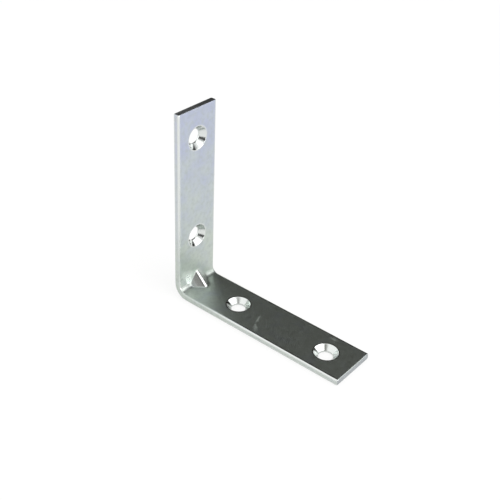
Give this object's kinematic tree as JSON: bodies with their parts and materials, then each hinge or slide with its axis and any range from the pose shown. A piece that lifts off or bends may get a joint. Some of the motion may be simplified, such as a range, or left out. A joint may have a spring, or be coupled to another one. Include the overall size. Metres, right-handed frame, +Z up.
{
  "type": "corner brace bracket",
  "caption": "Right-angle corner brace bent from one flat steel strip, with a rib pressed into the inner corner and countersunk screw holes in both legs.",
  "frame": {"origin": "outer corner, where the planes of the two outer faces meet, at the middle of the strip's width", "axes": "+X along the base leg, +Z up along the upright leg, +Y across the strip's width; the screws leave the base leg along +Z and the upright along +X"},
  "size_m": [0.075, 0.019, 0.075],
  "materials": {
    "zinc_plated_steel": "bright zinc plating on rolled steel strip, satin with soft reflections"
  },
  "bodies": {
    "root": {"corner_brace": "zinc_plated_steel"}
  },
  "joints": []
}
